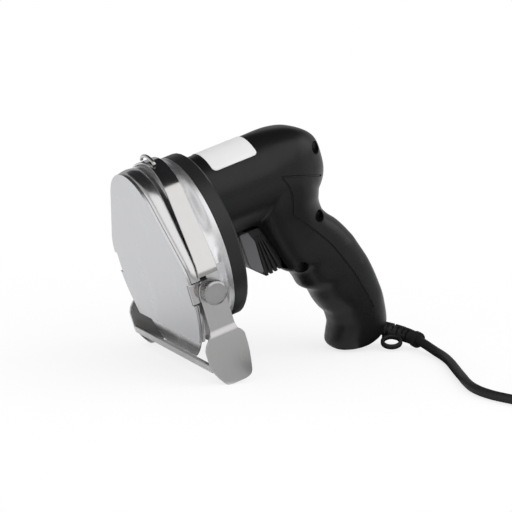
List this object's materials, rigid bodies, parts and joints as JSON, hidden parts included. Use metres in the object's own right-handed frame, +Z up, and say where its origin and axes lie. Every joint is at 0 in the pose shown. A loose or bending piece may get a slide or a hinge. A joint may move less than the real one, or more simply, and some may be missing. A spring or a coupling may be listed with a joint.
{
  "type": "electric kebab slicer",
  "caption": "Hand-held electric slicer: a round blade under a shield-shaped steel cover, a hinged thickness guide, and a pistol grip with a trigger and cord.",
  "frame": {"origin": "middle of the tool's footprint box on the table, without the cord", "axes": "+X toward the grip's back, -Y toward the side with the housing screws, +Z up; the tool stands on its guide wings and its butt, tipped nose-down by 17.8 degrees"},
  "size_m": [0.2929, 0.3006, 0.1339],
  "materials": {
    "steel": "polished",
    "brushed_plate": "fine brushed",
    "cast_alloy": "die-cast, lightly mottled",
    "black_housing": "fine satin texture",
    "label_stock": "plain white film",
    "trigger_grey": "satin",
    "black_rubber": "matte",
    "core_iron": "varnished laminations",
    "winding_copper": "varnished",
    "brush_carbon": "pressed carbon",
    "pin_plating": "nickel plated"
  },
  "bodies": {
    "body": {"gear_case": "cast_alloy", "guard_strap": "steel", "cover_clip_left": "steel", "cover_clip_right": "steel", "front_flange": "black_housing", "housing_left": "black_housing", "housing_right": "black_housing", "housing_screw_1": "steel", "housing_screw_2": "steel", "housing_screw_3": "steel", "label": "label_stock", "stator": "winding_copper", "brush_holder_left": "winding_copper", "brush_holder_right": "winding_copper", "brush_left": "brush_carbon", "brush_right": "brush_carbon", "spindle_bearing_front": "steel", "spindle_bearing_rear": "steel", "motor_bearing_front": "steel", "motor_bearing_rear": "steel", "stud_left": "steel", "stud_right": "steel", "switch_body": "trigger_grey", "strain_relief": "black_rubber", "cord_run": "black_rubber", "cord_coil": "black_rubber", "cord_tie": "black_rubber", "plug_body": "black_rubber", "plug_pin_1": "pin_plating", "plug_pin_2": "pin_plating"},
    "cover": {"cover_plate": "brushed_plate", "cover_rim": "steel"},
    "rotor": {"blade": "steel", "blade_screw": "steel", "spindle": "steel", "drive_gear": "steel"},
    "armature": {"motor_pinion": "steel", "armature_shaft": "steel", "armature_core": "core_iron", "commutator": "winding_copper", "fan": "black_housing"},
    "guide": {"thickness_guide": "brushed_plate"},
    "knob_left": {"knob_left": "steel"},
    "knob_right": {"knob_right": "steel"},
    "trigger": {"trigger": "trigger_grey", "trigger_boot": "black_rubber"},
    "bail": {"strap_bail": "steel"}
  },
  "joints": [
    {"name": "blade_spin", "type": "hinge", "parent": "body", "child": "rotor", "pos_m": [-0.04417, 0, 0.05662], "axis": [0.9522, 0, 0.3055], "continuous": true},
    {"name": "armature_spin", "type": "hinge", "parent": "body", "child": "armature", "pos_m": [-0.01601, 0, 0.09978], "axis": [0.9522, 0, 0.3055], "continuous": true},
    {"name": "trigger_pull", "type": "slide", "parent": "body", "child": "trigger", "axis": [0.9522, 0, 0.3055], "range_m": [0, 0.005], "stiffness_N_per_m": 600, "springref_m": -0.004},
    {"name": "guide_tilt", "type": "hinge", "parent": "body", "child": "guide", "pos_m": [-0.05151, 0, 0.053], "axis": [0, 1, 0], "range_deg": [0, 9]},
    {"name": "knob_left_turn", "type": "hinge", "parent": "body", "child": "knob_left", "pos_m": [-0.05151, -0.059, 0.053], "axis": [0, -1, 0], "range_deg": [0, 180]},
    {"name": "knob_right_turn", "type": "hinge", "parent": "body", "child": "knob_right", "pos_m": [-0.05151, 0.059, 0.053], "axis": [0, 1, 0], "range_deg": [0, 180]},
    {"name": "cover_off", "type": "slide", "parent": "body", "child": "cover", "axis": [-0.9522, 0, -0.3055], "range_m": [0, 0.02]},
    {"name": "bail_fold", "type": "hinge", "parent": "body", "child": "bail", "pos_m": [-0.06674, 0, 0.11716], "axis": [0, 1, 0], "range_deg": [0, 30]}
  ],
  "couplings": [
    {"joint": "armature_spin", "follows": "blade_spin", "ratio": -4.2}
  ]
}
